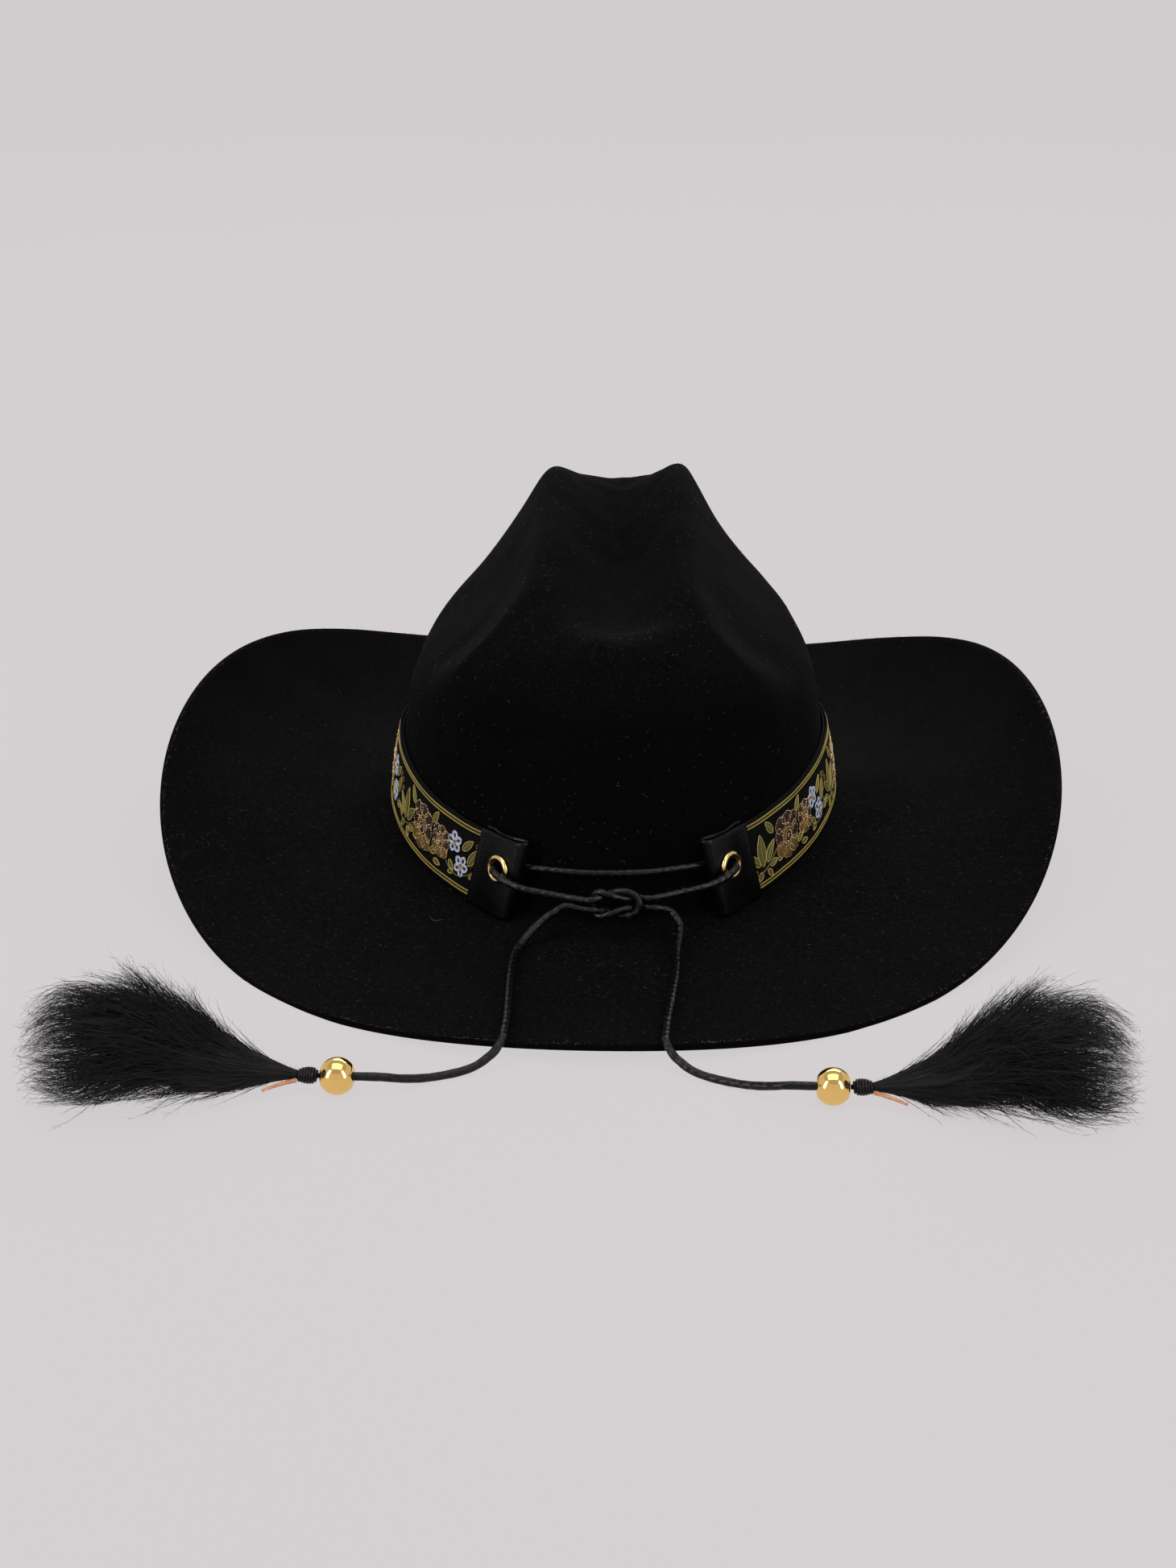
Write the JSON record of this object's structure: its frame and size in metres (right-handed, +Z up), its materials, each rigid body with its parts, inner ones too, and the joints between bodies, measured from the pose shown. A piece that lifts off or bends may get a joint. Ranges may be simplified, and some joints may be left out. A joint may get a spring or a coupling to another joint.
{
  "type": "western felt hat",
  "caption": "Wide-brimmed felt hat with a creased crown, embroidered ribbon band laced at the back through leather tabs, and cord tails ending in beads and feather tassels.",
  "frame": {"origin": "middle of the whole object's box at table height, under the crown", "axes": "+X to the wearer's right, +Y toward the front of the hat, +Z up; the table is z = 0"},
  "size_m": [0.3564, 0.447, 0.1345],
  "materials": {
    "felt": "matte black pressed felt",
    "leather": "smooth black leather",
    "satin": "black satin ribbon",
    "grosgrain": "black ribbed backing",
    "ribbon": "black woven ribbon with raised floral embroidery",
    "brass": "polished",
    "gold": "polished gold tone",
    "cord": "waxed round lace",
    "feather": "soft black down",
    "quill": "bare tan feather shaft"
  },
  "bodies": {
    "hat": {"felt_body": "felt", "sweatband": "leather", "sweatband_reed": "leather", "sweatband_bow": "satin"},
    "hatband": {"hatband_backing": "grosgrain", "hatband_ribbon": "ribbon", "tab_left": "leather", "tab_right": "leather", "eyelet_left": "brass", "eyelet_right": "brass", "eyelet_washer_left": "brass", "eyelet_washer_right": "brass", "cord_lace": "cord", "cord_knot": "cord", "cord_drape_left": "cord", "cord_drape_right": "cord"},
    "tail_left": {"cord_tail_left": "cord"},
    "tail_right": {"cord_tail_right": "cord"},
    "bead_slider_left": {"bead_left": "gold"},
    "bead_slider_right": {"bead_right": "gold"},
    "tassel_left": {"tassel_binding_left": "cord", "feather_plume_left": "feather", "feather_quill_left": "quill"},
    "tassel_right": {"tassel_binding_right": "cord", "feather_plume_right": "feather", "feather_quill_right": "quill"}
  },
  "joints": [
    {"name": "hatband_lift", "type": "slide", "parent": "hat", "child": "hatband", "axis": [0, 0, 1], "range_m": [0, 0.13]},
    {"name": "tail_swing_left", "type": "hinge", "parent": "hatband", "child": "tail_left", "pos_m": [-0.02642, -0.17617, 0.00866], "axis": [0, -1, 0], "range_deg": [0, 80]},
    {"name": "bead_slide_left", "type": "slide", "parent": "tail_left", "child": "bead_slider_left", "axis": [1, 0, 0], "range_m": [0, 0.008]},
    {"name": "tassel_swing_left", "type": "hinge", "parent": "tail_left", "child": "tassel_left", "pos_m": [-0.0862, -0.19983, 0.0062], "axis": [0, 1, 0], "range_deg": [-10, 25]},
    {"name": "tail_swing_right", "type": "hinge", "parent": "hatband", "child": "tail_right", "pos_m": [0.02762, -0.17597, 0.00861], "axis": [0, 1, 0], "range_deg": [0, 80]},
    {"name": "bead_slide_right", "type": "slide", "parent": "tail_right", "child": "bead_slider_right", "axis": [-1, 0, 0], "range_m": [0, 0.008]},
    {"name": "tassel_swing_right", "type": "hinge", "parent": "tail_right", "child": "tassel_right", "pos_m": [0.0903, -0.19903, 0.0062], "axis": [0, -1, 0], "range_deg": [-10, 25]}
  ]
}
